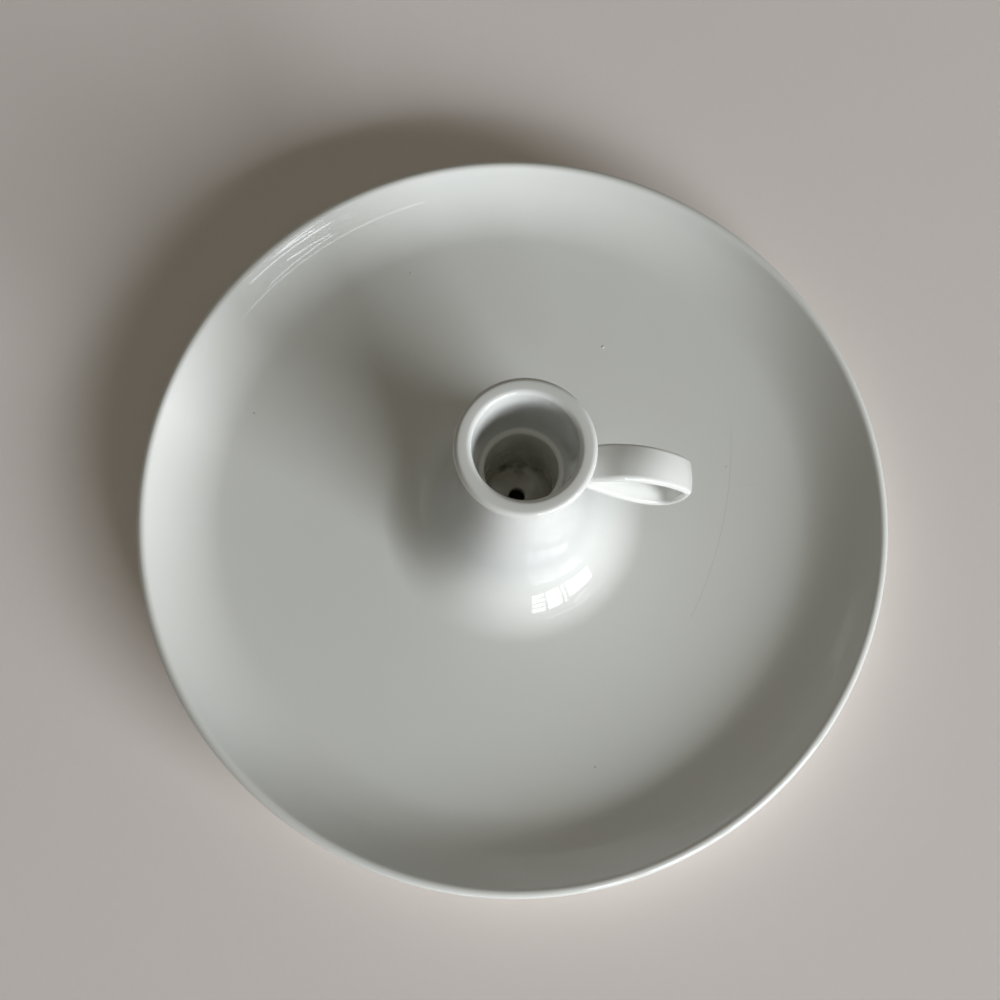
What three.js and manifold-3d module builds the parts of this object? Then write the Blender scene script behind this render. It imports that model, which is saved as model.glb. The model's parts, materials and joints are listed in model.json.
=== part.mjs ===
// Taper candle holder: a chamberstick of glazed white porcelain.
// A wide dish on a foot ring carries a hollow trumpet stem with a collar lip. A thimble-shaped cup sits in the neck
// of the stem, where its rim is the ledge of the stepped candle socket. A strap bent into a loop takes a finger.
// Each piece is formed by itself and stuck to the next with slip before the whole is glazed and fired.
// Millimetres, +Z up. The origin is on the table under the middle of the dish, and the loop points along +X.

import * as THREE from 'three';
import { mergeVertices } from 'three/addons/utils/BufferGeometryUtils.js';
import Module from 'manifold-3d';

const wasm = await Module();
wasm.setup();

// Dish
const DISH_RADIUS = 110; // outside of the rim
const RIM_THICKNESS = 3.4;
const WELL_DEPTH = 9.7; // top of the rim to the floor
const FLOOR_RADIUS = 87; // where the floor starts to curve up into the wall
const FLOOR_THICKNESS = 3.6;
const FOOT_HEIGHT = 2.2;
const FOOT_RADIUS = 70; // middle of the foot ring
const FOOT_WIDTH = 3.2; // flat that stands on the table
const FOOT_SPREAD = 1.8; // how far each side of the foot ring runs out at the top

// Stem
const STICK_HEIGHT = 82.7; // table to the top of the lip
const FLARE_RADIUS = 39.4; // where the flare runs out into the floor of the dish
const NECK_SLOPE = THREE.MathUtils.degToRad(88.5); // slope at which the flare becomes the straight neck
const STEM_WALL = 2.75;
const SKIRT_EDGE = 1.6; // depth to which the edge of the flare is let into the floor
const SKIRT_LEDGE = 2.5; // floor that is left under the inside of the skirt
const LIP_OVERHANG = 2.3; // how far the lip stands out from the neck
const LIP_WIDTH = 4.4; // outside of the lip to the mouth of the socket
const LIP_THICKNESS = 4.4;
const LIP_ROUND = 1.4; // rounding of the lip's edges
const LIP_COVE = 1.5; // radius of the hollow under the lip

// Socket
const LEDGE_DEPTH = 23.6; // top of the lip to the ledge
const LEDGE_RADIUS = 11.2; // mouth of the socket where it meets the ledge
const SOCKET_DEPTH = 55; // top of the lip to the floor of the cup
const CUP_BORE_RADIUS = 9.55; // at the ledge
const CUP_FLOOR_RADIUS = 9.2; // at the floor
const CUP_WALL = 2.4;
const CUP_FLOOR_THICKNESS = 3;
const CUP_RIM_ROUND = 0.8;
const CUP_CORNER = 2;
const VENT_RADIUS = 2.25;

// Handle
const STRAP_WIDTH = 9.5;
const STRAP_THICKNESS = 3.7;
const STRAP_EDGE = 1.5; // rounding of the strap's edges
const LOOP_REACH = 45.3; // axis of the stem to the outside of the loop
const LOOP_ROOT_DROP = 19.1; // top of the lip to the point where the ends meet
const LOOP_END_DROP = 12; // root to the height of the outermost point
const UPPER_PULL_OUT = 14.1; // how the strap leaves its upper end, outward and up
const UPPER_PULL_UP = 10.6;
const UPPER_SHOULDER = 3.4; // length of the bend above the outermost point
const LOWER_BELLY = 24.8; // length of the bend below the outermost point
const LOWER_PULL_OUT = 10.4; // how the strap comes back to its lower end
const LOWER_PULL_DOWN = 17.8;
const ROOT_REACH = 4; // length over which the ends swell towards the neck
const ROOT_SWELL = 0.9; // how much each side of the strap swells

// Joints between the pieces
const SLIP_GAP = 0.3; // room for the slip

// Facets
const DISH_SIDES = 64;
const STEM_SIDES = 48; // the cup has the same, so that its rim lines up with the mouth
const WALL_STEPS = 7;
const FLARE_STEPS = 14;
const ROLL_STEPS = 8;
const CORNER_STEPS = 3;
const LOOP_STEPS = 22;

// Heights and radii that follow from the sizes above
const floorZ = FOOT_HEIGHT + FLOOR_THICKNESS;
const seatZ = floorZ - SKIRT_EDGE;
const ledgeZ = STICK_HEIGHT - LEDGE_DEPTH;
const cupFloorZ = STICK_HEIGHT - SOCKET_DEPTH;
const cupRadius = CUP_BORE_RADIUS + CUP_WALL;
const cupSeatRadius = cupRadius + SLIP_GAP;
const neckRadius = cupSeatRadius + STEM_WALL;
const lipRadius = neckRadius + LIP_OVERHANG;
const mouthRadius = lipRadius - LIP_WIDTH;

const point = (radius, height) => new THREE.Vector2(radius, height);

// Points on an arc about a centre, from one angle to another.
function arc(centre, radius, from, to, steps) {
  return Array.from({ length: steps + 1 }, (_, i) => {
    const angle = THREE.MathUtils.lerp(from, to, i / steps);
    return point(centre.x + radius * Math.cos(angle), centre.y + radius * Math.sin(angle));
  });
}

// The part of a rising line that lies above a height, starting where the line crosses it.
function above(line, height) {
  const first = line.findIndex((p) => p.y > height);
  const below = line[first - 1];
  const share = (height - below.y) / (line[first].y - below.y);
  return [below.clone().lerp(line[first], share), ...line.slice(first)];
}

// Keeps only the places of the corners, each of them once.
function weld(geometry) {
  geometry.deleteAttribute('normal');
  geometry.deleteAttribute('uv');
  return mergeVertices(geometry);
}

// A ring turned about Z from a closed outline of radius and height.
function turned(outline, sides) {
  const geometry = new THREE.LatheGeometry([...outline, outline[0].clone()], sides);
  return weld(geometry.rotateX(Math.PI / 2));
}

function toSolid(geometry) {
  const vertProperties = Float32Array.from(geometry.attributes.position.array);
  const triVerts = Uint32Array.from(geometry.index.array);
  return new wasm.Manifold(new wasm.Mesh({ numProp: 3, vertProperties, triVerts }));
}

function toGeometry(solid) {
  const mesh = solid.getMesh();
  const geometry = new THREE.BufferGeometry();
  geometry.setAttribute('position', new THREE.BufferAttribute(mesh.vertProperties, 3));
  geometry.setIndex(new THREE.BufferAttribute(mesh.triVerts, 1));
  return geometry;
}

// The dish's wall is one arc from the floor to the rim. Its radius and its slope at the rim follow from its run.
function dishOutline() {
  const rimRound = RIM_THICKNESS / 2;
  const run = DISH_RADIUS - rimRound - FLOOR_RADIUS;
  const slope = 2 * Math.atan(WELL_DEPTH / run);
  const wallRadius = run / Math.sin(slope) - rimRound;
  const bend = point(FLOOR_RADIUS, floorZ + wallRadius);
  const rim = point(DISH_RADIUS - rimRound, floorZ + WELL_DEPTH - rimRound);
  const quarter = Math.PI / 2;

  const footHalf = FOOT_WIDTH / 2;
  const foot = [
    point(FOOT_RADIUS - footHalf - FOOT_SPREAD, FOOT_HEIGHT),
    point(FOOT_RADIUS - footHalf, 0),
    point(FOOT_RADIUS + footHalf, 0),
    point(FOOT_RADIUS + footHalf + FOOT_SPREAD, FOOT_HEIGHT),
  ];
  const outside = Array.from({ length: WALL_STEPS + 1 }, (_, i) => {
    const share = i / WALL_STEPS;
    const angle = slope * share - quarter;
    const radius = wallRadius + THREE.MathUtils.lerp(FLOOR_THICKNESS, RIM_THICKNESS, share);
    return point(bend.x + radius * Math.cos(angle), bend.y + radius * Math.sin(angle));
  });
  const roll = arc(rim, rimRound, slope - quarter, slope + quarter, ROLL_STEPS).slice(1, -1);
  const inside = arc(bend, wallRadius, slope - quarter, -quarter, WALL_STEPS);
  const opening = above(flareLine(STEM_WALL), seatZ)[0].x - SKIRT_LEDGE;
  const seat = [
    point(FLARE_RADIUS + SLIP_GAP, floorZ),
    point(FLARE_RADIUS + SLIP_GAP, seatZ),
    point(opening, seatZ),
    point(opening, FOOT_HEIGHT),
  ];
  return [...foot, ...outside, ...roll, ...inside, ...seat];
}

// The flare is level where it leaves the floor, and its slope grows evenly with the way in to the neck.
// An inset moves the line square to itself, into the wall.
function flareLine(inset) {
  const scale = (FLARE_RADIUS - neckRadius) / NECK_SLOPE;
  return Array.from({ length: FLARE_STEPS + 1 }, (_, i) => {
    const slope = NECK_SLOPE * Math.sin((Math.PI / 2) * (i / FLARE_STEPS));
    const radius = FLARE_RADIUS - scale * slope;
    const height = floorZ - scale * Math.log(Math.cos(slope));
    return point(radius - inset * Math.sin(slope), height - inset * Math.cos(slope));
  });
}

// The lip is a flat collar with rounded edges. Its line runs from the hollow under it, over the top, to the mouth
// of the socket.
function lipLine() {
  const topZ = STICK_HEIGHT - LIP_ROUND;
  const under = point(lipRadius - LIP_ROUND, STICK_HEIGHT - LIP_THICKNESS + LIP_ROUND);
  const coveX = neckRadius + LIP_COVE;
  const reach = LIP_ROUND + LIP_COVE;
  const tilt = Math.acos((coveX - under.x) / reach);
  const cove = point(coveX, under.y - reach * Math.sin(tilt));
  const quarter = Math.PI / 2;
  return [
    ...arc(cove, LIP_COVE, Math.PI, Math.PI - tilt, CORNER_STEPS),
    ...arc(under, LIP_ROUND, -tilt, 0, CORNER_STEPS).slice(1),
    ...arc(point(under.x, topZ), LIP_ROUND, 0, quarter, CORNER_STEPS),
    ...arc(point(mouthRadius + LIP_ROUND, topZ), LIP_ROUND, quarter, Math.PI, CORNER_STEPS),
  ];
}

function stemOutline() {
  const inside = above(flareLine(STEM_WALL), seatZ).reverse();
  return [
    point(FLARE_RADIUS, seatZ),
    ...flareLine(0),
    ...lipLine(),
    point(LEDGE_RADIUS, ledgeZ),
    point(cupSeatRadius, ledgeZ),
    ...inside,
  ];
}

function cupOutline() {
  const baseZ = cupFloorZ - CUP_FLOOR_THICKNESS;
  const inner = point(CUP_FLOOR_RADIUS - CUP_CORNER, cupFloorZ + CUP_CORNER);
  const outer = point(cupRadius - CUP_CORNER, baseZ + CUP_CORNER);
  const rim = point(CUP_BORE_RADIUS + CUP_RIM_ROUND, ledgeZ - CUP_RIM_ROUND);
  const quarter = Math.PI / 2;
  return [
    point(VENT_RADIUS, baseZ),
    ...arc(outer, CUP_CORNER, -quarter, 0, CORNER_STEPS),
    point(cupRadius, ledgeZ),
    point(LEDGE_RADIUS, ledgeZ),
    ...arc(rim, CUP_RIM_ROUND, quarter, 2 * quarter, CORNER_STEPS),
    ...arc(inner, CUP_CORNER, 0, -quarter, CORNER_STEPS),
    point(VENT_RADIUS, cupFloorZ),
  ];
}

// Rounded oblong across the strap: Y runs along its width, and out points away from the middle of the loop.
function strapSection(centre, out, swell) {
  const halfWidth = STRAP_WIDTH / 2 + swell - STRAP_EDGE;
  const halfThick = STRAP_THICKNESS / 2 + swell - STRAP_EDGE;
  const corners = [[1, 1], [-1, 1], [-1, -1], [1, -1]];
  const across = new THREE.Vector3(0, 1, 0);
  return corners.flatMap(([side, face], quarter) => {
    const middle = point(side * halfWidth, face * halfThick);
    const from = quarter * (Math.PI / 2);
    return arc(middle, STRAP_EDGE, from, from + Math.PI / 2, CORNER_STEPS - 1).map((p) =>
      centre.clone().addScaledVector(across, p.x).addScaledVector(out, p.y));
  });
}

// Skin over a row of sections, with a fan over each end.
function loft(sections) {
  const count = sections[0].length;
  const last = (sections.length - 1) * count;
  const faces = [];
  for (let i = 0; i < last; i += count) {
    for (let j = 0; j < count; j += 1) {
      const next = (j + 1) % count;
      faces.push(i + j, i + next, i + count + j);
      faces.push(i + next, i + count + next, i + count + j);
    }
  }
  for (let j = 1; j < count - 1; j += 1) {
    faces.push(0, j + 1, j);
    faces.push(last, last + j, last + j + 1);
  }
  const geometry = new THREE.BufferGeometry().setFromPoints(sections.flat());
  geometry.setIndex(faces);
  return geometry;
}

// One half of the loop, from a curve that starts or ends at the neck.
function strapHalf(curve) {
  const sections = Array.from({ length: LOOP_STEPS + 1 }, (_, i) => {
    const centre = curve.getPointAt(i / LOOP_STEPS);
    const along = curve.getTangentAt(i / LOOP_STEPS);
    const out = new THREE.Vector3(-along.z, 0, along.x);
    const closeness = THREE.MathUtils.clamp(1 - (centre.x - neckRadius) / ROOT_REACH, 0, 1);
    return strapSection(centre, out, ROOT_SWELL * closeness ** 2);
  });
  return toSolid(loft(sections));
}

// The loop is a teardrop: both ends of the strap meet on the neck, and the cut for the stem trims them to it.
function handleGeometry() {
  const place = (x, z) => new THREE.Vector3(x, 0, z);
  const root = place(neckRadius, STICK_HEIGHT - LOOP_ROOT_DROP);
  const end = place(LOOP_REACH - STRAP_THICKNESS / 2, root.z - LOOP_END_DROP);
  const upper = new THREE.CubicBezierCurve3(
    root,
    place(root.x + UPPER_PULL_OUT, root.z + UPPER_PULL_UP),
    place(end.x, end.z + UPPER_SHOULDER),
    end,
  );
  const lower = new THREE.CubicBezierCurve3(
    end,
    place(end.x, end.z - LOWER_BELLY),
    place(root.x + LOWER_PULL_OUT, root.z - LOWER_PULL_DOWN),
    root,
  );
  const stemLine = [...flareLine(0), point(neckRadius, STICK_HEIGHT)];
  const cutter = turned([
    point(cupRadius, STICK_HEIGHT),
    point(cupRadius, floorZ),
    ...stemLine.map((p) => point(p.x + SLIP_GAP, p.y)),
  ], STEM_SIDES);
  return toGeometry(strapHalf(upper).add(strapHalf(lower)).subtract(toSolid(cutter)));
}

function piece(name, geometry, color, roughness) {
  geometry.computeVertexNormals();
  const material = new THREE.MeshStandardMaterial({ color, roughness, metalness: 0 });
  const mesh = new THREE.Mesh(geometry, material);
  mesh.name = name;
  return mesh;
}

const candleHolder = new THREE.Group();
candleHolder.name = 'candle_holder';
candleHolder.add(
  piece('dish', turned(dishOutline(), DISH_SIDES), 0xe9ebe7, 0.12),
  piece('stem', turned(stemOutline(), STEM_SIDES), 0xe9ebe7, 0.12),
  piece('socket_cup', turned(cupOutline(), STEM_SIDES), 0xdfe1dc, 0.2),
  piece('handle_loop', handleGeometry(), 0xe9ebe7, 0.12),
);

export default candleHolder;
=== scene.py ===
import json
import math

import bmesh
import bpy
from mathutils import Matrix, Vector


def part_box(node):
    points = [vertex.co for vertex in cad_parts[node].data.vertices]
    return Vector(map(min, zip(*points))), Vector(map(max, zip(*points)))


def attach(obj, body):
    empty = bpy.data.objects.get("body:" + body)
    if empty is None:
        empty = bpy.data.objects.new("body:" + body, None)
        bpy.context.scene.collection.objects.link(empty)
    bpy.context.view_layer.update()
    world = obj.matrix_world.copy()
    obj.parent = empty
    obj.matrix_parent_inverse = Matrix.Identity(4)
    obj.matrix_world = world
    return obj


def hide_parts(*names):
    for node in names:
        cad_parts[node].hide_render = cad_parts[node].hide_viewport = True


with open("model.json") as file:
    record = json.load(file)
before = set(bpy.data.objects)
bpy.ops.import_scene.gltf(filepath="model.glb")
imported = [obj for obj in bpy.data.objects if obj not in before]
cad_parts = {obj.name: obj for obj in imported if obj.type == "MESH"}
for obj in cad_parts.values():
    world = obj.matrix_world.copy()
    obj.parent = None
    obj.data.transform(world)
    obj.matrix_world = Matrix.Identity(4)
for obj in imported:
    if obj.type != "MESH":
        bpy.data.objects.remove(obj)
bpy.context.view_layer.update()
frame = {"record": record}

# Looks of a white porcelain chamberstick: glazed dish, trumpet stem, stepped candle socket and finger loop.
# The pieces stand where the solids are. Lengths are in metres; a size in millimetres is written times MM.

MM = 0.001
QUARTER = math.pi / 2

# Sizes that the solids give
dish_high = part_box("dish")[1]
stem_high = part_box("stem")[1]
cup_low, cup_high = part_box("socket_cup")
loop_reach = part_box("handle_loop")[1].x
mounts = {mount["name"]: Vector(mount["pos_m"]) for mount in frame["record"]["mounts"]}
rim_radius = dish_high.x
rim_top = dish_high.z
flare_radius = stem_high.x
stick_top = stem_high.z
ledge_z = mounts["candle_ledge"].z
cup_floor_z = mounts["socket_floor"].z
cup_radius = cup_high.x
cup_base_z = cup_low.z
foot_radius = mounts["foot_face"].xy.length

# Dish
RIM_THICKNESS = 3.4 * MM
WELL_DEPTH = 9.7 * MM
FLOOR_RADIUS = 87 * MM
FLOOR_THICKNESS = 3.6 * MM
FOOT_HEIGHT = 2.2 * MM
FOOT_WIDTH = 3.2 * MM
FOOT_SPREAD = 1.8 * MM
FOOT_ROUND = 0.7 * MM
SKIRT_EDGE = 1.6 * MM
SKIRT_LEDGE = 2.5 * MM
LEVEL_RING = 0.5 * MM

# Stem and socket
NECK_RADIUS = 15 * MM
NECK_SLOPE = math.radians(88.5)
STEM_WALL = 2.75 * MM
LIP_RADIUS = 17.3 * MM
LIP_WIDTH = 4.4 * MM
LIP_THICKNESS = 4.4 * MM
LIP_ROUND = 1.4 * MM
LIP_COVE = 1.5 * MM
LEDGE_RADIUS = 11.2 * MM
LEDGE_ROUND = 0.5 * MM
BORE_RADIUS = 9.55 * MM
BORE_FLOOR_RADIUS = 9.2 * MM
BORE_ROUND = 0.8 * MM
CUP_CORNER = 2 * MM
CUP_GAP = 0.3 * MM
VENT_RADIUS = 2.25 * MM
VENT_ROUND = 0.5 * MM

# Finger loop
STRAP_WIDTH = 9.5 * MM
STRAP_THICKNESS = 3.7 * MM
OUTER_DOME = 0.25 * MM
INNER_DOME = 0.95 * MM
LOOP_ROOT_DROP = 19.1 * MM
LOOP_END_DROP = 12 * MM
UPPER_PULL = (14.1 * MM, 10.6 * MM)
UPPER_SHOULDER = 3.4 * MM
LOWER_BELLY = 24.8 * MM
LOWER_PULL = (10.4 * MM, 17.8 * MM)
ROOT_REACH = 4 * MM
ROOT_SWELL = 0.8 * MM
CROTCH_PULL = 0.6 * MM
# Shares of the strap's two halves at which the crotch starts, and at which the ends are deep in the neck
UPPER_CROTCH = 0.05
UPPER_SUNK = -0.02
LOWER_CROTCH = 0.96
LOWER_SUNK = 1.01
# The crest of the strap leans away from the front: where along X the lean comes in and goes out
STRAP_LEAN = math.radians(18)
LEAN_IN = (16 * MM, 25 * MM)
LEAN_OUT = (27 * MM, 40 * MM)
LEAN_SPREAD = 0.14

# Facets
SIDES = 240
WALL_STEPS = 28
FLARE_STEPS = 60
ROUND_STEPS = 8
STRAP_STEPS = 48
ROOT_STEPS = 5
DOME_STEPS = 6
CREASE = math.radians(40)

# Camera, told from the middle of the dish at the height of the rim's middle
CAMERA_PLACE = Vector((-12.88, -73.02, 343.99)) * MM
CAMERA_AIM = Vector((-4.34, 1.79, 0)) * MM
CAMERA_TURN = math.radians(6.94)
FOCAL_PIXELS = 1200
FRAME_PIXELS = 1000
SENSOR_WIDTH = 36

floor_z = rim_top - WELL_DEPTH
rim_round = RIM_THICKNESS / 2
rim_middle_z = rim_top - rim_round
mouth_radius = LIP_RADIUS - LIP_WIDTH


def arc(centre, radius, start, stop, steps):
    """Points of an arc in the plane of radius and height."""
    angles = [start + (stop - start) * i / steps for i in range(steps + 1)]
    return [(centre[0] + radius * math.cos(a), centre[1] + radius * math.sin(a)) for a in angles]


def smooth_step(value, start, stop):
    """0 up to the start, 1 from the stop, and a smooth change between."""
    share = min(max((value - start) / (stop - start), 0), 1)
    return share * share * (3 - 2 * share)


def new_object(name, bm, materials):
    mesh = bpy.data.meshes.new(name)
    bm.to_mesh(mesh)
    bm.free()
    for material in materials:
        mesh.materials.append(material)
    obj = bpy.data.objects.new(name, mesh)
    bpy.context.scene.collection.objects.link(obj)
    return obj


def smooth(bm):
    """Smooth shading, with sharp edges where two faces meet at more than a crease."""
    bmesh.ops.recalc_face_normals(bm, faces=bm.faces)
    bm.normal_update()
    for face in bm.faces:
        face.smooth = True
    for edge in bm.edges:
        edge.smooth = edge.calc_face_angle(0) < CREASE


def turned(name, outline, materials, second=None):
    """A ring turned about Z from a closed outline. second picks faces of the second material."""
    bm = bmesh.new()
    columns = []
    for i in range(SIDES):
        angle = 2 * math.pi * i / SIDES
        spoke = Vector((math.cos(angle), math.sin(angle), 0))
        columns.append([bm.verts.new(spoke * r + Vector((0, 0, z))) for r, z in outline])
    count = len(outline)
    for i in range(SIDES):
        here, there = columns[i], columns[(i + 1) % SIDES]
        for j in range(count):
            k = (j + 1) % count
            face = bm.faces.new((here[j], there[j], there[k], here[k]))
            if second and second(face.calc_center_median().z):
                face.material_index = 1
    smooth(bm)
    return new_object(name, bm, materials)


# Outlines


def dish_outline():
    run = rim_radius - rim_round - FLOOR_RADIUS
    slope = 2 * math.atan(WELL_DEPTH / run)
    wall_radius = run / math.sin(slope) - rim_round
    bend = (FLOOR_RADIUS, floor_z + wall_radius)
    rim = (rim_radius - rim_round, rim_middle_z)
    foot_inside = foot_radius - FOOT_WIDTH / 2
    foot_outside = foot_radius + FOOT_WIDTH / 2
    foot = [(foot_inside - FOOT_SPREAD, FOOT_HEIGHT)]
    foot += arc((foot_inside + FOOT_ROUND, FOOT_ROUND), FOOT_ROUND, -2 * QUARTER, -QUARTER, ROUND_STEPS)
    foot += arc((foot_outside - FOOT_ROUND, FOOT_ROUND), FOOT_ROUND, -QUARTER, 0, ROUND_STEPS)
    foot += [(foot_outside + FOOT_SPREAD, FOOT_HEIGHT)]
    outside = []
    for i in range(WALL_STEPS + 1):
        share = i / WALL_STEPS
        angle = slope * share - QUARTER
        radius = wall_radius + FLOOR_THICKNESS + (RIM_THICKNESS - FLOOR_THICKNESS) * share
        outside.append((bend[0] + radius * math.cos(angle), bend[1] + radius * math.sin(angle)))
    roll = arc(rim, rim_round, slope - QUARTER, slope + QUARTER, 2 * ROUND_STEPS)[1:-1]
    inside = arc(bend, wall_radius, slope - QUARTER, -QUARTER, WALL_STEPS)
    seat_z = floor_z - SKIRT_EDGE
    opening = skirt_inside(seat_z)[0][0] - SKIRT_LEDGE
    seat = [
        (FLOOR_RADIUS - LEVEL_RING, floor_z),
        (flare_radius, floor_z),
        (flare_radius, seat_z),
        (opening, seat_z),
        (opening, FOOT_HEIGHT),
    ]
    return foot + outside + roll + inside + seat


def flare_line(inset):
    """The stem's outside, level at the floor and steep at the neck; an inset moves it into the wall."""
    scale = (flare_radius - NECK_RADIUS) / NECK_SLOPE
    line = []
    for i in range(FLARE_STEPS + 1):
        slope = NECK_SLOPE * math.sin(QUARTER * i / FLARE_STEPS)
        radius = flare_radius - scale * slope
        height = floor_z - scale * math.log(math.cos(slope))
        line.append((radius - inset * math.sin(slope), height - inset * math.cos(slope)))
    return line


def skirt_inside(height):
    """The inside of the flare from a height upward."""
    line = flare_line(STEM_WALL)
    first = next(i for i, p in enumerate(line) if p[1] > height)
    low, high = line[first - 1], line[first]
    share = (height - low[1]) / (high[1] - low[1])
    return [(low[0] + (high[0] - low[0]) * share, height)] + line[first:]


def lip_line():
    top = stick_top - LIP_ROUND
    under = (LIP_RADIUS - LIP_ROUND, stick_top - LIP_THICKNESS + LIP_ROUND)
    cove_x = NECK_RADIUS + LIP_COVE
    reach = LIP_ROUND + LIP_COVE
    tilt = math.acos((cove_x - under[0]) / reach)
    cove = (cove_x, under[1] - reach * math.sin(tilt))
    line = arc(cove, LIP_COVE, math.pi, math.pi - tilt, ROUND_STEPS)
    line += arc(under, LIP_ROUND, -tilt, 0, ROUND_STEPS)[1:]
    line += arc((under[0], top), LIP_ROUND, 0, QUARTER, ROUND_STEPS)
    return line + arc((mouth_radius + LIP_ROUND, top), LIP_ROUND, QUARTER, math.pi, ROUND_STEPS)


def stem_outline():
    seat_radius = cup_radius + CUP_GAP
    seat_z = floor_z - SKIRT_EDGE
    corner = (LEDGE_RADIUS - LEDGE_ROUND, ledge_z + LEDGE_ROUND)
    inside = skirt_inside(seat_z)[::-1]
    return (
        [(flare_radius, seat_z)]
        + flare_line(0)
        + lip_line()
        + arc(corner, LEDGE_ROUND, 0, -QUARTER, ROUND_STEPS)
        + [(seat_radius, ledge_z)]
        + inside
    )


def cup_outline():
    inner = (BORE_FLOOR_RADIUS - CUP_CORNER, cup_floor_z + CUP_CORNER)
    outer = (cup_radius - CUP_CORNER, cup_base_z + CUP_CORNER)
    rim = (BORE_RADIUS + BORE_ROUND, ledge_z - BORE_ROUND)
    vent = (VENT_RADIUS + VENT_ROUND, cup_floor_z - VENT_ROUND)
    return (
        [(VENT_RADIUS, cup_base_z)]
        + arc(outer, CUP_CORNER, -QUARTER, 0, ROUND_STEPS)
        + [(cup_radius, ledge_z)]
        + arc(rim, BORE_ROUND, QUARTER, math.pi, ROUND_STEPS)
        + arc(inner, CUP_CORNER, 0, -QUARTER, ROUND_STEPS)
        + arc(vent, VENT_ROUND, QUARTER, math.pi, ROUND_STEPS)
    )


# Finger loop


def cubic(a, b, c, d, t):
    s = 1 - t
    return a * s ** 3 + b * 3 * s * s * t + c * 3 * s * t * t + d * t ** 3


def cubic_way(a, b, c, d, t):
    s = 1 - t
    return ((b - a) * s * s + (c - b) * 2 * s * t + (d - c) * t * t).normalized()


def strap_place(half, t):
    """Inside and outside of the strap in the plane of X and height, and how much the strap swells there."""
    centre = cubic(*half, t)
    way = cubic_way(*half, t)
    out = Vector((-way.y, way.x))
    swell = ROOT_SWELL * max(0, 1 - (centre.x - NECK_RADIUS) / ROOT_REACH) ** 2
    return centre - out * STRAP_THICKNESS / 2, centre + out * (STRAP_THICKNESS / 2 + swell), swell


def strap_rows():
    """Sections round the loop as (inside, outside, swell, lean). Those of the root fan round the crotch."""
    root = Vector((NECK_RADIUS, stick_top - LOOP_ROOT_DROP))
    end = Vector((loop_reach - STRAP_THICKNESS / 2, root.y - LOOP_END_DROP))
    upper = (root, root + Vector(UPPER_PULL), end + Vector((0, UPPER_SHOULDER)), end)
    lower = (end, end - Vector((0, LOWER_BELLY)), root + Vector((LOWER_PULL[0], -LOWER_PULL[1])), root)
    rows = []
    for i in range(STRAP_STEPS):
        place = strap_place(upper, UPPER_CROTCH + (1 - UPPER_CROTCH) * i / STRAP_STEPS)
        x = place[1].x
        lean = STRAP_LEAN * smooth_step(x, *LEAN_IN) * (1 - smooth_step(x, *LEAN_OUT))
        rows.append((*place, lean))
    for i in range(STRAP_STEPS + 1):
        rows.append((*strap_place(lower, LOWER_CROTCH * i / STRAP_STEPS), 0))
    lower_inside, upper_inside = rows[-1][0], rows[0][0]
    crotch = (
        lower_inside,
        lower_inside + cubic_way(*lower, LOWER_CROTCH) * CROTCH_PULL,
        upper_inside - cubic_way(*upper, UPPER_CROTCH) * CROTCH_PULL,
        upper_inside,
    )
    lower_step = (LOWER_SUNK - LOWER_CROTCH) / ROOT_STEPS
    upper_step = (UPPER_CROTCH - UPPER_SUNK) / ROOT_STEPS
    ends = [(lower, LOWER_CROTCH + lower_step * i) for i in range(1, ROOT_STEPS + 1)]
    ends += [(upper, UPPER_SUNK + upper_step * i) for i in range(ROOT_STEPS)]
    for i, (half, t) in enumerate(ends):
        inside = cubic(*crotch, (i + 1) / (len(ends) + 1))
        rows.append((inside, *strap_place(half, t)[1:], 0))
    return rows


def strap_section(inside, outside, swell, lean):
    """Points round the strap: a flat oval with rounded edges, wider where it leans."""
    across = Vector((0, 1, 0))
    out = Vector((outside.x - inside.x, 0, outside.y - inside.y))
    half_depth = out.length / 2
    out.normalize()
    middle = (inside + outside) / 2
    centre = Vector((middle.x, 0, middle.y))
    side = across * math.cos(lean) - out * math.sin(lean)
    face = out * math.cos(lean) + across * math.sin(lean)
    edge = half_depth - (OUTER_DOME + INNER_DOME) / 2
    edge_middle = (INNER_DOME - OUTER_DOME) / 2
    flat = STRAP_WIDTH / 2 * (1 + LEAN_SPREAD * lean / STRAP_LEAN) + swell - edge
    shares = [1 - 2 * i / DOME_STEPS for i in range(1, DOME_STEPS)]
    line = arc((flat, edge_middle), edge, -QUARTER, QUARTER, 2 * ROUND_STEPS)
    line += [(flat * share, half_depth - OUTER_DOME * share * share) for share in shares]
    line += arc((-flat, edge_middle), edge, QUARTER, 3 * QUARTER, 2 * ROUND_STEPS)
    line += [(-flat * share, INNER_DOME * share * share - half_depth) for share in shares]
    return [centre + side * y + face * depth for y, depth in line]


def finger_loop(materials):
    bm = bmesh.new()
    rings = [[bm.verts.new(point) for point in strap_section(*row)] for row in strap_rows()]
    for i, here in enumerate(rings):
        there = rings[(i + 1) % len(rings)]
        for j in range(len(here)):
            k = (j + 1) % len(here)
            bm.faces.new((here[j], here[k], there[k], there[j]))
    smooth(bm)
    return new_object("finger_loop", bm, materials)


# Materials

GLAZE_IOR = 1.5


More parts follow.
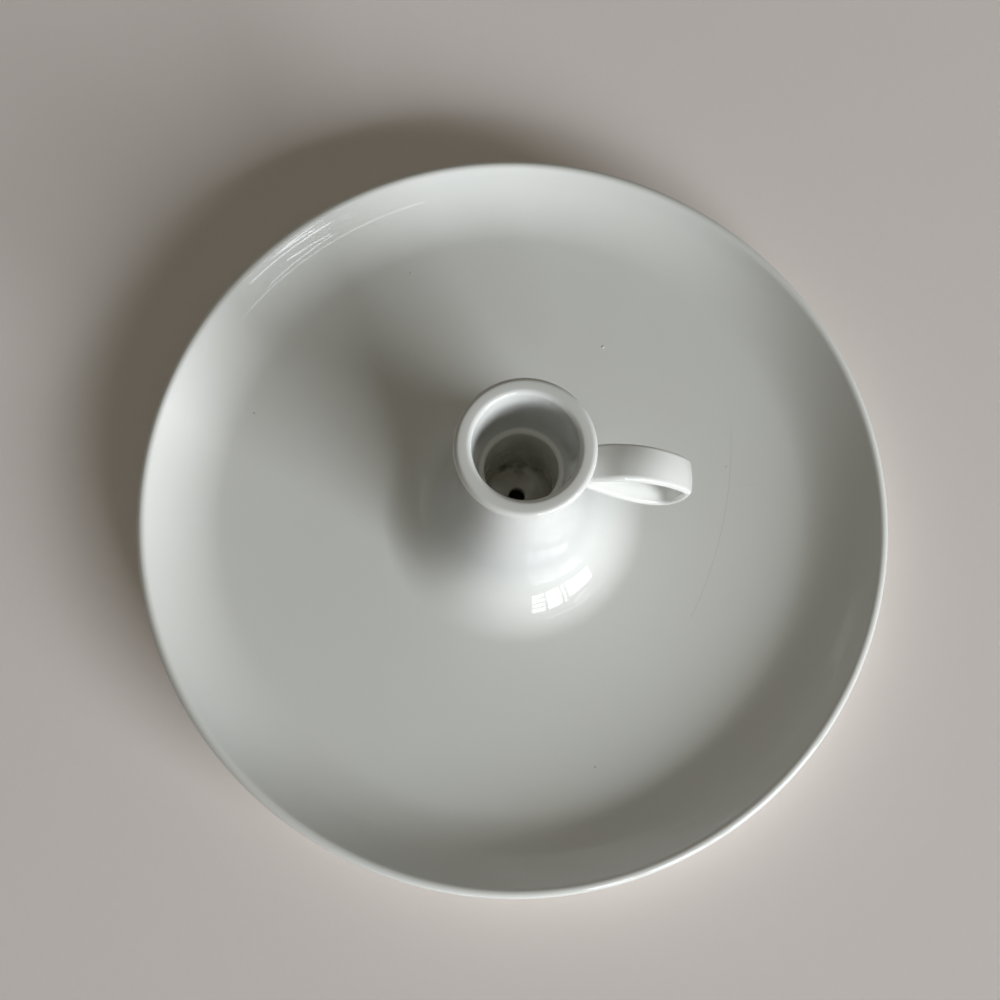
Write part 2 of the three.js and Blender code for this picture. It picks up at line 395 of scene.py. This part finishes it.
class Skin:
    """A material in the making: a Principled shader, and helpers that feed it from places on the piece."""

    def __init__(self, name):
        self.material = bpy.data.materials.new(name)
        self.material.use_nodes = True
        self.tree = self.material.node_tree
        self.shader = self.tree.nodes["Principled BSDF"]
        self.shader.inputs["IOR"].default_value = GLAZE_IOR
        self.place = self.add("TexCoord").outputs["Object"]

    def add(self, kind, **settings):
        node = self.tree.nodes.new("ShaderNode" + kind)
        for key, value in settings.items():
            setattr(node, key, value)
        return node

    def feed(self, socket, source):
        if isinstance(source, bpy.types.NodeSocket):
            self.tree.links.new(source, socket)
        else:
            socket.default_value = source

    def set(self, name, source):
        self.feed(self.shader.inputs[name], source)

    def math(self, operation, *values):
        node = self.add("Math", operation=operation)
        for socket, value in zip(node.inputs, values):
            self.feed(socket, value)
        return node.outputs["Value"]

    def ramp(self, value, start, stop, low=0.0, high=1.0):
        """A smooth change from low to high while the value goes from start to stop."""
        node = self.add("MapRange", interpolation_type="SMOOTHSTEP")
        for name, source in (
            ("Value", value),
            ("From Min", start),
            ("From Max", stop),
            ("To Min", low),
            ("To Max", high),
        ):
            self.feed(node.inputs[name], source)
        return node.outputs["Result"]

    def noise(self, size, detail=2.0):
        """Clouds from 0 to 1 whose features have a size in metres."""
        node = self.add("TexNoise")
        self.feed(node.inputs["Vector"], self.place)
        self.feed(node.inputs["Scale"], 1 / size)
        self.feed(node.inputs["Detail"], detail)
        return node.outputs["Fac"]

    def mix(self, share, first, second):
        """The first colour, or as much of the second as the share says."""
        node = self.add("Mix", data_type="RGBA")
        colours = [socket for socket in node.inputs if socket.type == "RGBA"]
        self.feed(node.inputs["Factor"], share)
        for socket, source in zip(colours, (first, second)):
            self.feed(socket, source if isinstance(source, bpy.types.NodeSocket) else (*source, 1))
        return next(socket for socket in node.outputs if socket.type == "RGBA")

    def distance(self, point):
        """Metres from a point."""
        node = self.add("VectorMath", operation="DISTANCE")
        self.feed(node.inputs[0], self.place)
        self.feed(node.inputs[1], point)
        return node.outputs["Value"]

    def spot(self, point, radius, edge=0.5):
        """1 in a round spot, 0 outside it; edge is the share of the radius over which it fades."""
        return self.ramp(self.distance(point), radius * (1 - edge), radius, 1.0, 0.0)

    def part(self, axis):
        """One coordinate of the place."""
        node = self.add("SeparateXYZ")
        self.feed(node.inputs["Vector"], self.place)
        return node.outputs[axis]

    def relief(self, height):
        """Bump from a height in metres."""
        node = self.add("Bump")
        self.feed(node.inputs["Distance"], 1)
        self.feed(node.inputs["Height"], height)
        self.tree.links.new(node.outputs["Normal"], self.shader.inputs["Normal"])


CLEAR_GLAZE = (0.88, 0.885, 0.865)
THIN_GLAZE = (0.88, 0.875, 0.845)
# Painted shade on the neck: a darker colour that tones down the light there. It fades in above the floor
# and fades out below the lip.
NECK_PAINTED_SHADE = (0.77, 0.775, 0.765)
NECK_FADE = (4 * MM, 18 * MM)
LIP_FADE = (9 * MM, 4 * MM)
SPECK_COLOUR = (0.30, 0.26, 0.20)
# Sizes of the clouds in colour and gloss, and where in the range of the noise they start and end
CLOUD_SIZE = 45 * MM
CLOUD_RANGE = (0.35, 0.7)
GLOSS_SIZE = 18 * MM
GLOSS_RANGE = (0.3, 0.7)
GLAZE_ROUGHNESS = (0.03, 0.055)
# Size and height of the two unevennesses of the glaze
PEEL = (6 * MM, 0.012 * MM)
WAVES = (30 * MM, 0.06 * MM)


def glaze(name):
    """Clear glaze on white clay: faint clouds, uneven gloss and an orange-peel skin."""
    skin = Skin(name)
    colour = skin.mix(skin.ramp(skin.noise(CLOUD_SIZE), *CLOUD_RANGE), CLEAR_GLAZE, THIN_GLAZE)
    skin.set("Roughness", skin.ramp(skin.noise(GLOSS_SIZE), *GLOSS_RANGE, *GLAZE_ROUGHNESS))
    peel, waves = [skin.math("MULTIPLY", skin.noise(size, 1.0), rise) for size, rise in (PEEL, WAVES)]
    height = skin.math("ADD", peel, waves)
    return skin, colour, height


# Flaws of the dish's glaze, in plan and millimetres: raised pimples, dark pits, a hair line and a scratch
PIMPLES = ((27.5, 52.3, 0.62), (-32.3, 75.8, 0.5), (64.7, 14.5, 0.4))
PITS = ((-78.9, 29.8, 0.5), (23.5, -74.6, 0.45))
PIMPLE_HEIGHT = 0.16 * MM
PIT_DARKNESS = 0.6
HAIR_CENTRE = (-61.0, 26.5)
HAIR_RADIUS = 127.3 * MM
HAIR_ENDS = (-33.5 * MM, 31 * MM)
HAIR_FADES = (4 * MM, 8 * MM)
HAIR_WIDTH = 0.16 * MM
HAIR_DEPTH = 0.02 * MM
HAIR_DARKNESS = 0.14
SCRATCH_START = (66.3, 8.0)
SCRATCH_TURN = math.radians(7.4)
SCRATCH_LENGTH = 15.8 * MM
SCRATCH_FADE = 1 * MM


def dish_glaze():
    skin, colour, height = glaze("dish_glaze")
    for x, y, radius in PIMPLES:
        bump = skin.spot((x * MM, y * MM, floor_z), radius * MM, 1.0)
        height = skin.math("ADD", height, skin.math("MULTIPLY", bump, PIMPLE_HEIGHT))
    for x, y, radius in PITS:
        pit = skin.spot((x * MM, y * MM, floor_z), radius * MM, 1.0)
        colour = skin.mix(skin.math("MULTIPLY", pit, PIT_DARKNESS), colour, SPECK_COLOUR)
    off = skin.distance((HAIR_CENTRE[0] * MM, HAIR_CENTRE[1] * MM, floor_z))
    off = skin.math("ABSOLUTE", skin.math("SUBTRACT", off, HAIR_RADIUS))
    along = skin.part("Y")
    span = skin.math(
        "MULTIPLY",
        skin.ramp(along, HAIR_ENDS[0], HAIR_ENDS[0] + HAIR_FADES[0]),
        skin.ramp(along, HAIR_ENDS[1] - HAIR_FADES[1], HAIR_ENDS[1], 1.0, 0.0),
    )
    east = skin.math("GREATER_THAN", skin.part("X"), 0.0)
    hair = skin.math("MULTIPLY", skin.ramp(off, HAIR_WIDTH / 2, HAIR_WIDTH, 1.0, 0.0), span)
    hair = skin.math("MULTIPLY", hair, east)
    height = skin.math("SUBTRACT", height, skin.math("MULTIPLY", hair, HAIR_DEPTH))
    colour = skin.mix(skin.math("MULTIPLY", hair, HAIR_DARKNESS), colour, SPECK_COLOUR)
    turn = skin.add("Mapping", vector_type="TEXTURE")
    skin.feed(turn.inputs["Vector"], skin.place)
    skin.feed(turn.inputs["Location"], (SCRATCH_START[0] * MM, SCRATCH_START[1] * MM, floor_z))
    skin.feed(turn.inputs["Rotation"], (0, 0, SCRATCH_TURN))
    split = skin.add("SeparateXYZ")
    skin.feed(split.inputs["Vector"], turn.outputs["Vector"])
    within = skin.math(
        "MULTIPLY",
        skin.ramp(split.outputs["X"], 0.0, SCRATCH_FADE),
        skin.ramp(split.outputs["X"], SCRATCH_LENGTH / 2, SCRATCH_LENGTH, 1.0, 0.0),
    )
    near = skin.ramp(skin.math("ABSOLUTE", split.outputs["Y"]), HAIR_WIDTH / 2, HAIR_WIDTH, 1.0, 0.0)
    ridge = skin.math("MULTIPLY", within, near)
    height = skin.math("ADD", height, skin.math("MULTIPLY", ridge, HAIR_DEPTH))
    skin.set("Base Color", colour)
    skin.relief(height)
    return skin.material


def plain_glaze():
    skin, colour, height = glaze("white_glaze")
    skin.set("Base Color", colour)
    skin.relief(height)
    return skin.material


def stem_glaze():
    """The neck is painted a darker grey between the floor and the lip: a painted shade that tones down the
    light on the neck.
    """
    skin, colour, height = glaze("stem_glaze")
    up = skin.part("Z")
    # Painted shade: the neck is darker between these heights
    neck_painted_shade = skin.math(
        "MULTIPLY",
        skin.ramp(up, floor_z + NECK_FADE[0], floor_z + NECK_FADE[1]),
        skin.ramp(up, stick_top - LIP_FADE[0], stick_top - LIP_FADE[1], 1.0, 0.0),
    )
    skin.set("Base Color", skin.mix(neck_painted_shade, colour, NECK_PAINTED_SHADE))
    skin.relief(height)
    return skin.material


# Traces of use in the socket: wax, and soot in the corner of its floor, in plan and millimetres
SOCKET_COLOUR = (0.86, 0.865, 0.83)
WAX_COLOUR = (0.74, 0.71, 0.61)
SOOT_COLOUR = (0.24, 0.20, 0.14)
SOOT_SPOTS = ((-2.2, 9.2, 3.6), (-4.8, 7.8, 2.6), (0.8, 8.2, 2.8), (5.6, 8.2, 2.8))
SOOT_DARKNESS = 0.6
SOOT_CORE = 0.2
SOOT_GRAIN = 2.6 * MM
SOOT_RAGGEDNESS = 7 * MM
WAX_SIZE = 5 * MM
WAX_RANGE = (0.4, 0.62)
WAX_SHARE = 0.75
WAX_HEIGHT = 0.08 * MM
WAX_FULL = 0.6
SOCKET_ROUGHNESS = (0.1, 0.4)


def socket_glaze():
    """Glaze with wax that thickens towards the floor, and ragged spots of soot."""
    skin = Skin("socket_glaze")
    clouds = skin.noise(WAX_SIZE, 3.0)
    deep = skin.ramp(skin.part("Z"), cup_floor_z, ledge_z, WAX_SHARE, 0.0)
    wax = skin.math("MULTIPLY", skin.ramp(clouds, *WAX_RANGE), deep)
    colour = skin.mix(wax, SOCKET_COLOUR, WAX_COLOUR)
    grain = skin.math("SUBTRACT", skin.noise(SOOT_GRAIN, 4.0), 0.5)
    ragged = skin.math("MULTIPLY", grain, SOOT_RAGGEDNESS)
    for x, y, radius in SOOT_SPOTS:
        off = skin.math("ADD", skin.distance((x * MM, y * MM, cup_floor_z)), ragged)
        soot = skin.ramp(off, SOOT_CORE * radius * MM, radius * MM, SOOT_DARKNESS, 0.0)
        colour = skin.mix(soot, colour, SOOT_COLOUR)
    skin.set("Base Color", colour)
    skin.set("Roughness", skin.ramp(wax, 0.0, WAX_FULL, *SOCKET_ROUGHNESS))
    skin.relief(skin.math("MULTIPLY", clouds, WAX_HEIGHT))
    return skin.material


# Bare clay of the foot ring
BISCUIT_LIGHT = (0.74, 0.72, 0.68)
BISCUIT_DARK = (0.64, 0.61, 0.56)
BISCUIT_ROUGHNESS = 0.75
BISCUIT_GRAIN = 0.9 * MM
BISCUIT_RANGE = (0.35, 0.7)
BISCUIT_HEIGHT = 0.05 * MM


def biscuit():
    skin = Skin("biscuit")
    grain = skin.noise(BISCUIT_GRAIN, 4.0)
    colour = skin.mix(skin.ramp(grain, *BISCUIT_RANGE), BISCUIT_LIGHT, BISCUIT_DARK)
    skin.set("Roughness", BISCUIT_ROUGHNESS)
    skin.set("Base Color", colour)
    skin.relief(skin.math("MULTIPLY", grain, BISCUIT_HEIGHT))
    return skin.material


# Pieces


def on_foot(height):
    """The ring on which the dish stands has no glaze."""
    return height < FOOT_HEIGHT / 4


dish = turned("dish_glazed", dish_outline(), [dish_glaze(), biscuit()], on_foot)
stem = turned("stem_glazed", stem_outline(), [stem_glaze()])
cup = turned("socket_glazed", cup_outline(), [socket_glaze()])
loop = finger_loop([plain_glaze()])
for piece, node, slot in (
    (dish, "dish", "white_glaze"),
    (stem, "stem", "white_glaze"),
    (cup, "socket_cup", "socket_glaze"),
    (loop, "handle_loop", "white_glaze"),
):
    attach(piece, "root")
    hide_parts(node)


# Floor
FLOOR_REACH = 1.0
PALE_FLOOR = (0.975, 0.9, 0.87, 1)
FLOOR_ROUGHNESS = 0.7


def pale_floor():
    bm = bmesh.new()
    bmesh.ops.create_circle(bm, cap_ends=True, segments=SIDES, radius=FLOOR_REACH)
    skin = Skin("pale_floor")
    skin.set("Roughness", FLOOR_ROUGHNESS)
    skin.set("Base Color", PALE_FLOOR)
    return new_object("pale_floor", bm, [skin.material])


pale_floor()


# Light: a soft lamp in two halves low on the right, cards seen only in mirror images, and a dim warm dome
LAMP_DISTANCE = 5.0
CARD_DISTANCE = 2.0
LAMP_COLOUR = (0.955, 1.0, 1.03)
LAMP_TILT = math.radians(9.6)
# Azimuth, elevation, width and height in degrees as seen from the object, and radiance
LAMPS = (
    (-54.9, 19.9, 20.0, 17.3, 13.9),
    (-34.9, 16.2, 20.0, 18.2, 17.2),
)
# Sides of each card as azimuth with lowest and highest elevation, and radiance: panes, then narrow strips
PANE_RADIANCE = 9.0
CARDS = (
    (((-75, 6, 12), (-66, 4.5, 10.5)), PANE_RADIANCE),
    (((-75, 14, 20), (-66, 12.5, 18.5)), PANE_RADIANCE),
    (((-75, 22, 28), (-66, 20.5, 26.5)), PANE_RADIANCE),
    (((-75, 30, 37), (-66, 28.5, 36)), PANE_RADIANCE),
    (((-64, 4.5, 35.5), (-54, 2, 34)), PANE_RADIANCE),
    (((-52, 2, 34), (-50.6, 2, 34)), PANE_RADIANCE),
    (((-48.6, 1, 29), (-29, 1, 25)), PANE_RADIANCE),
    (((-66, 49.8, 51.0), (-20, 45.0, 46.2)), 5.0),
    (((-46, 43.2, 44.2), (-29, 43.2, 44.2)), 9.0),
    (((-46, 39.8, 41.2), (-36, 34.6, 36.0)), 9.0),
)
DOME_COLOUR = (1.0, 0.94, 0.75, 1)
# The dome by the height of a direction: dark up to the start, full from the stop, and a glow overhead
DOME_START = 0.3
DOME_STOP = 0.9
DOME_STRENGTH = 0.158
GLOW_START = 0.965
GLOW_STRENGTH = 0.4
# What the camera and mirror images see in place of the dome
BACKDROP_COLOUR = (0.48, 0.465, 0.42, 1)


def away_from_object(azimuth, elevation):
    """The direction, one long, of an azimuth and an elevation in degrees."""
    a, e = math.radians(azimuth), math.radians(elevation)
    return Vector((math.cos(a) * math.cos(e), math.sin(a) * math.cos(e), math.sin(e)))


def soft_lamp(name, azimuth, elevation, width, height, radiance):
    data = bpy.data.lights.new(name, "AREA")
    data.shape = "RECTANGLE"
    data.size = 2 * LAMP_DISTANCE * math.tan(math.radians(width) / 2)
    data.size_y = 2 * LAMP_DISTANCE * math.tan(math.radians(height) / 2)
    data.energy = radiance * math.pi * data.size * data.size_y
    data.color = LAMP_COLOUR
    obj = bpy.data.objects.new(name, data)
    bpy.context.scene.collection.objects.link(obj)
    away = away_from_object(azimuth, elevation)
    facing = away.to_track_quat("Z", "Y").to_matrix().to_4x4()
    tilt = Matrix.Rotation(-LAMP_TILT, 4, "Z")
    obj.matrix_world = Matrix.Translation(away * LAMP_DISTANCE) @ facing @ tilt
    obj.visible_glossy = False


for number, lamp in enumerate(LAMPS):
    soft_lamp(f"soft_lamp_{number}", *lamp)


def card(name, sides, radiance):
    corners = []
    for azimuth, low, high in sides:
        corners += [away_from_object(azimuth, elevation) * CARD_DISTANCE for elevation in (low, high)]
    bm = bmesh.new()
    bm.faces.new([bm.verts.new(corners[k]) for k in (0, 2, 3, 1)])
    material = bpy.data.materials.new(name)
    material.use_nodes = True
    material.cycles.emission_sampling = "NONE"
    tree = material.node_tree
    tree.nodes.clear()
    emission = tree.nodes.new("ShaderNodeEmission")
    emission.inputs["Color"].default_value = (*LAMP_COLOUR, 1)
    emission.inputs["Strength"].default_value = radiance
    output = tree.nodes.new("ShaderNodeOutputMaterial")
    tree.links.new(emission.outputs["Emission"], output.inputs["Surface"])
    obj = new_object(name, bm, [material])
    obj.visible_camera = False
    obj.visible_diffuse = False
    obj.visible_shadow = False
    obj.visible_transmission = False
    return obj


for number, (sides, radiance) in enumerate(CARDS):
    card(f"card_{number}", sides, radiance)


def dome_light():
    world = bpy.data.worlds.new("dome")
    bpy.context.scene.world = world
    world.use_nodes = True
    tree = world.node_tree

    def ramp(start, stop, strength):
        node = tree.nodes.new("ShaderNodeMapRange")
        node.interpolation_type = "SMOOTHSTEP"
        node.inputs["From Min"].default_value = start
        node.inputs["From Max"].default_value = stop
        node.inputs["To Max"].default_value = strength
        tree.links.new(split.outputs["Z"], node.inputs["Value"])
        return node.outputs["Result"]

    place = tree.nodes.new("ShaderNodeTexCoord")
    split = tree.nodes.new("ShaderNodeSeparateXYZ")
    tree.links.new(place.outputs["Generated"], split.inputs["Vector"])
    total = tree.nodes.new("ShaderNodeMath")
    tree.links.new(ramp(DOME_START, DOME_STOP, DOME_STRENGTH), total.inputs[0])
    tree.links.new(ramp(GLOW_START, 1, GLOW_STRENGTH), total.inputs[1])
    sky = tree.nodes["Background"]
    sky.inputs["Color"].default_value = DOME_COLOUR
    tree.links.new(total.outputs["Value"], sky.inputs["Strength"])
    backdrop = tree.nodes.new("ShaderNodeBackground")
    backdrop.inputs["Color"].default_value = BACKDROP_COLOUR
    rays = tree.nodes.new("ShaderNodeLightPath")
    mix = tree.nodes.new("ShaderNodeMixShader")
    shown = rays.outputs["Is Camera Ray"]
    for name in ("Is Glossy Ray", "Is Transmission Ray"):
        either = tree.nodes.new("ShaderNodeMath")
        either.operation = "MAXIMUM"
        tree.links.new(shown, either.inputs[0])
        tree.links.new(rays.outputs[name], either.inputs[1])
        shown = either.outputs["Value"]
    tree.links.new(shown, mix.inputs["Fac"])
    tree.links.new(sky.outputs["Background"], mix.inputs[1])
    tree.links.new(backdrop.outputs["Background"], mix.inputs[2])
    tree.links.new(mix.outputs["Shader"], tree.nodes["World Output"].inputs["Surface"])


dome_light()


# Camera


def camera():
    data = bpy.data.cameras.new("camera")
    data.sensor_width = SENSOR_WIDTH
    data.lens = SENSOR_WIDTH * FOCAL_PIXELS / FRAME_PIXELS
    obj = bpy.data.objects.new("camera", data)
    bpy.context.scene.collection.objects.link(obj)
    middle = Vector((0, 0, rim_middle_z))
    back = (CAMERA_PLACE - CAMERA_AIM).normalized()
    level = Vector((0, 0, 1)).cross(back).normalized()
    rise = back.cross(level)
    right = level * math.cos(CAMERA_TURN) + rise * math.sin(CAMERA_TURN)
    axes = Matrix((right, back.cross(right), back)).transposed()
    obj.matrix_world = Matrix.Translation(middle + CAMERA_PLACE) @ axes.to_4x4()
    return obj


bpy.context.scene.camera = camera()
bpy.context.scene.view_settings.view_transform = "Standard"
